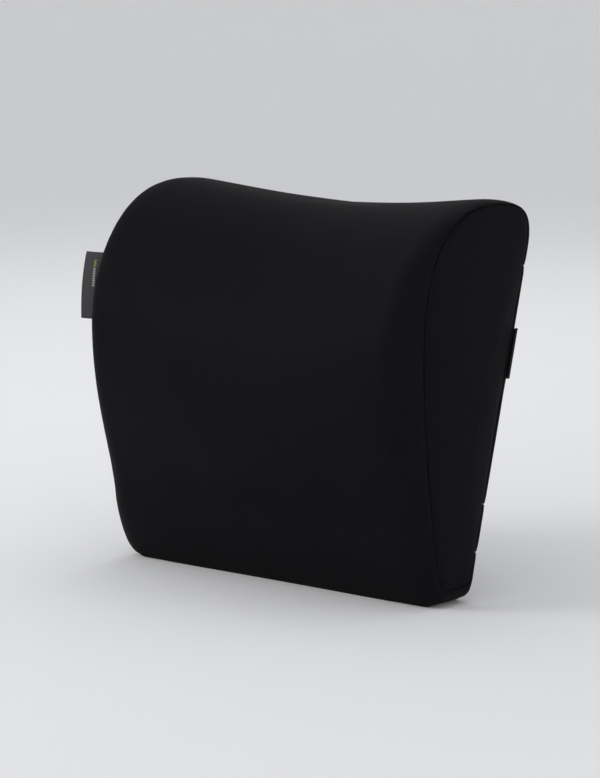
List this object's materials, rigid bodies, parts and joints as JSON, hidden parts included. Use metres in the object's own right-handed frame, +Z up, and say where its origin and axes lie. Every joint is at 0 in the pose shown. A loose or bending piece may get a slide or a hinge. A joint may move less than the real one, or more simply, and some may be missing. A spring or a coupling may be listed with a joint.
{
  "type": "lumbar support cushion",
  "caption": "Wedge-shaped foam back cushion with a scooped front, a zipped fabric cover and an adjustable back strap with a release buckle.",
  "frame": {"origin": "a point on the flat strip that the cushion stands on, midway along its width", "axes": "+X across the width, away from the side label; +Y from the front, which meets the sitter, to the back; +Z up"},
  "size_m": [0.3471, 0.1645, 0.2975],
  "materials": {
    "cover_fabric": "soft brushed near-black knit",
    "liner_knit": "plain off-white knit",
    "foam": "open-cell polyurethane foam",
    "label_weave": "woven satin, dark grey",
    "care_label_satin": "white satin tape, blank",
    "zip_tape": "woven polyester tape, black",
    "zip_coil": "nylon coil, black",
    "zip_metal": "black enamelled zinc",
    "strap_webbing": "ribbed elastic webbing, black",
    "buckle_acetal": "moulded acetal, fine matt grain"
  },
  "bodies": {
    "cushion": {"front_panel": "cover_fabric", "back_panel_upper": "cover_fabric", "back_panel_lower": "cover_fabric", "left_end_panel": "cover_fabric", "right_end_panel": "cover_fabric", "inner_liner": "liner_knit", "foam_core": "foam", "side_label": "label_weave", "care_label": "care_label_satin", "zip_tape_upper": "zip_tape", "zip_tape_lower": "zip_tape", "zip_coil_upper": "zip_coil", "zip_coil_lower": "zip_coil", "zip_stop_left": "zip_metal", "zip_stop_right": "zip_metal", "strap_left": "strap_webbing", "strap_right": "strap_webbing", "buckle_socket": "buckle_acetal"},
    "slider": {"zip_slider": "zip_metal"},
    "pull": {"zip_pull": "zip_metal"},
    "plug": {"buckle_plug": "buckle_acetal"},
    "upper_prong": {"buckle_prong_upper": "buckle_acetal"},
    "lower_prong": {"buckle_prong_lower": "buckle_acetal"},
    "adjuster": {"strap_adjuster": "buckle_acetal"}
  },
  "joints": [
    {"name": "zip_slide", "type": "slide", "parent": "cushion", "child": "slider", "axis": [1, 0, 0], "range_m": [0, 0.212]},
    {"name": "pull_swing", "type": "hinge", "parent": "slider", "child": "pull", "pos_m": [-0.106, 0.04812, 0.06889], "axis": [0, 0.2571, 0.9664], "range_deg": [0, 170]},
    {"name": "buckle_release", "type": "slide", "parent": "cushion", "child": "plug", "axis": [1, 0, 0], "range_m": [0, 0.028], "deforming": ["strap_right"]},
    {"name": "upper_prong_flex", "type": "hinge", "parent": "plug", "child": "upper_prong", "pos_m": [0.0477, 0.08319, 0.19252], "axis": [0, -0.9664, 0.2571], "range_deg": [0, 11]},
    {"name": "lower_prong_flex", "type": "hinge", "parent": "plug", "child": "lower_prong", "pos_m": [0.0477, 0.07574, 0.1645], "axis": [0, 0.9664, -0.2571], "range_deg": [0, 11]},
    {"name": "adjuster_slide", "type": "slide", "parent": "cushion", "child": "adjuster", "axis": [1, 0, 0], "range_m": [-0.025, 0.025], "deforming": ["strap_left"]}
  ],
  "couplings": [
    {"joint": "upper_prong_flex", "follows": "buckle_release", "rad_per_m": 6.4},
    {"joint": "lower_prong_flex", "follows": "buckle_release", "rad_per_m": 6.4}
  ]
}
